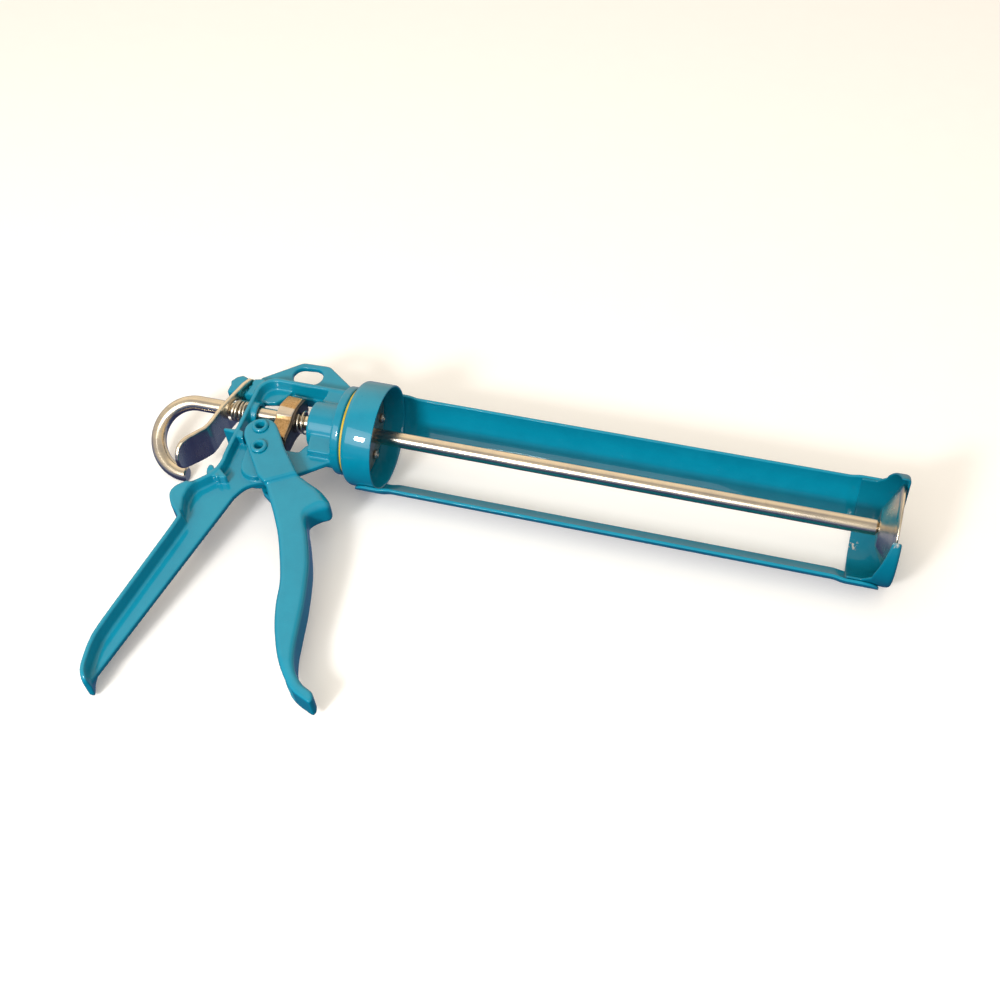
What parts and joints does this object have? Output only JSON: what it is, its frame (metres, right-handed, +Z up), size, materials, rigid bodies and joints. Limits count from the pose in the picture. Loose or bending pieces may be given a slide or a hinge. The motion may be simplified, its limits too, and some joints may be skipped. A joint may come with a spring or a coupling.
{
  "type": "caulking gun",
  "caption": "Caulking gun lying on its side: open swivelling cradle, round push rod with a bent hook, squeeze trigger, thumb release plate and T-section pistol handle.",
  "frame": {"origin": "centre of the bounding box on the floor that the gun lies on", "axes": "+X along the push rod towards the nozzle, +Z up from the floor; the handle points to -Y"},
  "size_m": [0.3844, 0.2116, 0.0551],
  "materials": {
    "bearing_ring": "yellow plastic",
    "cradle_cup": "gloss turquoise enamel",
    "drive_block": "bronze-coloured plated steel",
    "drive_plate": "dark spring steel with bronze edges",
    "drive_spring": "zinc-plated, bright, warm reflections",
    "frame_casting": "gloss turquoise enamel",
    "front_ring": "gloss turquoise enamel",
    "piston_nut": "zinc-plated, bright, warm reflections",
    "piston_plate": "zinc-plated, bright, warm reflections",
    "piston_washer": "zinc-plated, bright, warm reflections",
    "pivot_rivet": "gloss turquoise enamel",
    "push_rivet": "gloss turquoise enamel",
    "push_rod": "zinc-plated, bright, warm reflections",
    "rail_lower": "gloss turquoise enamel",
    "rail_upper": "gloss turquoise enamel",
    "release_plate": "zinc-plated, bright, warm reflections",
    "release_spring": "zinc-plated, bright, warm reflections",
    "retainer_dish": "dull zinc-plated steel",
    "retainer_rivet_1": "dull zinc-plated steel",
    "retainer_rivet_2": "dull zinc-plated steel",
    "retainer_rivet_3": "dull zinc-plated steel",
    "retainer_rivet_4": "dull zinc-plated steel",
    "retainer_rivet_5": "dull zinc-plated steel",
    "retainer_rivet_6": "dull zinc-plated steel",
    "trigger": "gloss turquoise enamel"
  },
  "bodies": {
    "frame": {"frame_casting": "frame_casting", "bearing_ring": "bearing_ring", "retainer_dish": "retainer_dish", "retainer_rivet_1": "retainer_rivet_1", "retainer_rivet_2": "retainer_rivet_2", "retainer_rivet_3": "retainer_rivet_3", "retainer_rivet_4": "retainer_rivet_4", "retainer_rivet_5": "retainer_rivet_5", "retainer_rivet_6": "retainer_rivet_6", "pivot_rivet": "pivot_rivet", "drive_spring": "drive_spring", "release_spring": "release_spring"},
    "cradle": {"cradle_cup": "cradle_cup", "rail_upper": "rail_upper", "rail_lower": "rail_lower", "front_ring": "front_ring"},
    "piston": {"piston_plate": "piston_plate"},
    "rod": {"push_rod": "push_rod", "piston_washer": "piston_washer", "piston_nut": "piston_nut"},
    "trigger": {"trigger": "trigger", "push_rivet": "push_rivet"},
    "drive": {"drive_block": "drive_block", "drive_plate": "drive_plate"},
    "release": {"release_plate": "release_plate"}
  },
  "joints": [
    {"name": "cradle_spin", "type": "hinge", "parent": "frame", "child": "cradle", "pos_m": [-0.06436, 0.06702, 0.02789], "axis": [1, 0, 0], "continuous": true},
    {"name": "rod_slide", "type": "slide", "parent": "frame", "child": "piston", "axis": [1, 0, 0], "range_m": [-0.235, 0]},
    {"name": "rod_turn", "type": "hinge", "parent": "piston", "child": "rod", "pos_m": [-0.06436, 0.06702, 0.02789], "axis": [1, 0, 0], "continuous": true},
    {"name": "trigger_pivot", "type": "hinge", "parent": "frame", "child": "trigger", "pos_m": [-0.12246, 0.03959, 0.02488], "axis": [0, 0.1092, -0.994], "range_deg": [0, 28], "stiffness_Nm_per_rad": 0.4, "springref_deg": -17.19},
    {"name": "drive_slide", "type": "slide", "parent": "frame", "child": "drive", "axis": [1, 0, 0], "range_m": [0, 0.0066], "stiffness_N_per_m": 300, "springref_m": -0.008, "deforming": ["drive_spring"]},
    {"name": "release_pivot", "type": "hinge", "parent": "frame", "child": "release", "pos_m": [-0.14536, 0.08114, 0.02945], "axis": [0, -0.1092, 0.994], "range_deg": [0, 8], "stiffness_Nm_per_rad": 0.2, "springref_deg": -17.19, "deforming": ["release_spring"]}
  ],
  "couplings": [
    {"joint": "drive_slide", "follows": "trigger_pivot", "m_per_rad": 0.013}
  ]
}
